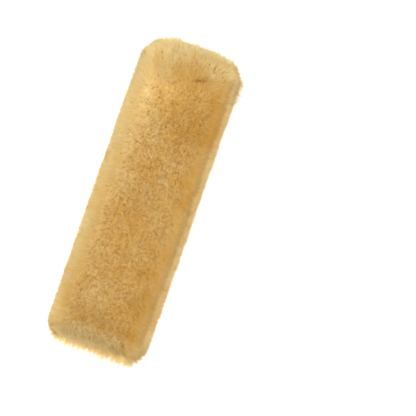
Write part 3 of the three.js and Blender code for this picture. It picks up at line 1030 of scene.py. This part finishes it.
def stitches(name, middles, directions, ups):
    """Stitches that sink at both ends into what they hold."""
    t = np.linspace(-0.5, 0.5, 5)
    lift = STITCH_LIFT - STITCH_SINK * np.abs(t) ** 3
    centres = middles[:, None] + directions[:, None] * (t * STITCH_LENGTH)[None, :, None]
    centres = centres + ups[:, None] * lift[None, :, None]
    return tubes(name, centres, STITCH_RADIUS, 5, THREAD)


def hem_stitches():
    """Round both ends of the passage, through the lining's hem."""
    path = wrap_path(SEAT_GAP + LINING + HEM_RISE, LINING_START + 1, LINING_END - 1, 0.3)
    path_at = travel(path)
    at = np.arange(STITCH_PITCH, path_at[-1] - 1, STITCH_PITCH)
    slope = unit(np.gradient(path, axis=0))
    xz = np.stack([np.interp(at, path_at, path[:, k]) for k in (0, 1)], 1)
    tangent = unit(np.stack([np.interp(at, path_at, slope[:, k]) for k in (0, 1)], 1))
    flat = 0 * tangent[:, 0]
    seam_y = LINING_HALF_LENGTH - HEM_SEAM_INSET
    middles = [np.stack([xz[:, 0], np.full(len(xz), y), xz[:, 1]], 1) for y in (-seam_y, seam_y)]
    directions = np.stack([tangent[:, 0], flat, tangent[:, 1]], 1)
    ups = np.stack([-tangent[:, 1], flat, tangent[:, 0]], 1)
    stitches(
        "hem_stitches", np.concatenate(middles), np.tile(directions, (2, 1)), np.tile(ups, (2, 1))
    )


def tape_stitches():
    """Along the selvedges of both strips."""
    y = np.arange(-TAPE_HALF_LENGTH + 2.5, TAPE_HALF_LENGTH - 2, STITCH_PITCH)
    seam_x = TAPE_HALF_WIDTH - TAPE_SEAM_INSET
    middles, ups = [], []
    for z, up in ((HOOK_LOW + TAPE_BASE, 1.0), (LOOP_HIGH - TAPE_BASE, -1.0)):
        for x in (-seam_x, seam_x):
            middles.append(np.stack([np.full(len(y), x), y, np.full(len(y), z)], 1))
            ups.append(np.tile([0, 0, up], (len(y), 1)))
    middles, ups = np.concatenate(middles), np.concatenate(ups)
    stitches("tape_stitches", middles, np.tile([0.0, 1.0, 0.0], (len(middles), 1)), ups)


hem_stitches()
tape_stitches()

# Stage, light and camera
FLOOR_HALF = 3.0  # in metres
floor_mesh = bpy.data.meshes.new("floor")
floor_signs = ((-1, -1), (1, -1), (1, 1), (-1, 1))
floor_corners = [(x * FLOOR_HALF, y * FLOOR_HALF, 0) for x, y in floor_signs]
floor_mesh.from_pydata(floor_corners, [], [(0, 1, 2, 3)])
floor = bpy.data.objects.new("floor", floor_mesh)
bpy.context.scene.collection.objects.link(floor)
floor_material, _, _, floor_shader = material("floor")
floor_shader.inputs["Base Color"].default_value = (0.92, 0.92, 0.92, 1)
floor_shader.inputs["Roughness"].default_value = 0.9
floor_mesh.materials.append(floor_material)

# The photo's right and up, on the floor
RIGHT = Vector((0.9437, 0.3308, 0))
UP = Vector((-0.3308, 0.9437, 0))


def area_light(name, location, target, size, power, colour=(1, 1, 1)):
    data = bpy.data.lights.new(name, "AREA")
    data.shape = "DISK"
    data.size = size
    data.energy = power
    data.color = colour
    light = bpy.data.objects.new(name, data)
    light.location = location
    light.rotation_euler = (Vector(target) - Vector(location)).to_track_quat("-Z", "Y").to_euler()
    bpy.context.scene.collection.objects.link(light)


area_light("key", -RIGHT * 0.9 + UP * 0.8 + Vector((0, 0, 1.5)), (0, 0, 0), size=1.2, power=16)
area_light("top", Vector((0, 0, 2.2)), (0, 0, 0), size=1.6, power=95)

# The room is brighter towards the upper left than towards the lower right
ROOM_DARK, ROOM_BRIGHT = 0.2, 1.6
world = bpy.data.worlds.new("studio")
world.use_nodes = True
background = world.node_tree.nodes["Background"]
background.inputs["Color"].default_value = (1, 1, 1, 1)
direction = world.node_tree.nodes.new("ShaderNodeTexCoord")
towards = world.node_tree.nodes.new("ShaderNodeVectorMath")
towards.operation = "DOT_PRODUCT"
towards.inputs[1].default_value = (-RIGHT * 0.85 + UP * 0.53)[:]
span = world.node_tree.nodes.new("ShaderNodeMapRange")
span.inputs["From Min"].default_value = -1
span.inputs["To Min"].default_value, span.inputs["To Max"].default_value = ROOM_DARK, ROOM_BRIGHT
world.node_tree.links.new(direction.outputs["Generated"], towards.inputs[0])
world.node_tree.links.new(towards.outputs["Value"], span.inputs["Value"])
world.node_tree.links.new(span.outputs["Result"], background.inputs["Strength"])
bpy.context.scene.world = world
bpy.context.scene.view_settings.view_transform = "Standard"
bpy.context.scene.view_settings.look = "None"

# The camera looks straight down, at the middle of the photo's frame
PHOTO_WIDTH, PIXELS_PER_MM = 416, 1.19
SENSOR = 36
DISTANCE = 1.8  # in metres
AIM_RIGHT, AIM_DOWN, AIM_HEIGHT = 53.5, 6.6, 17
FRAME_WIDTH = PHOTO_WIDTH / PIXELS_PER_MM * MM
aim = RIGHT * (AIM_RIGHT * MM) - UP * (AIM_DOWN * MM) + Vector((0, 0, AIM_HEIGHT * MM))
camera_data = bpy.data.cameras.new("camera")
camera_data.sensor_width = SENSOR
camera_data.lens = SENSOR * DISTANCE / FRAME_WIDTH
camera_data.clip_start, camera_data.clip_end = 0.01, 20
camera = bpy.data.objects.new("camera", camera_data)
back = Vector((0, 0, 1))
camera.matrix_world = Matrix.Translation(aim + back * DISTANCE) @ Matrix(
    (RIGHT, UP, back)
).transposed().to_4x4()
bpy.context.scene.collection.objects.link(camera)
bpy.context.scene.camera = camera
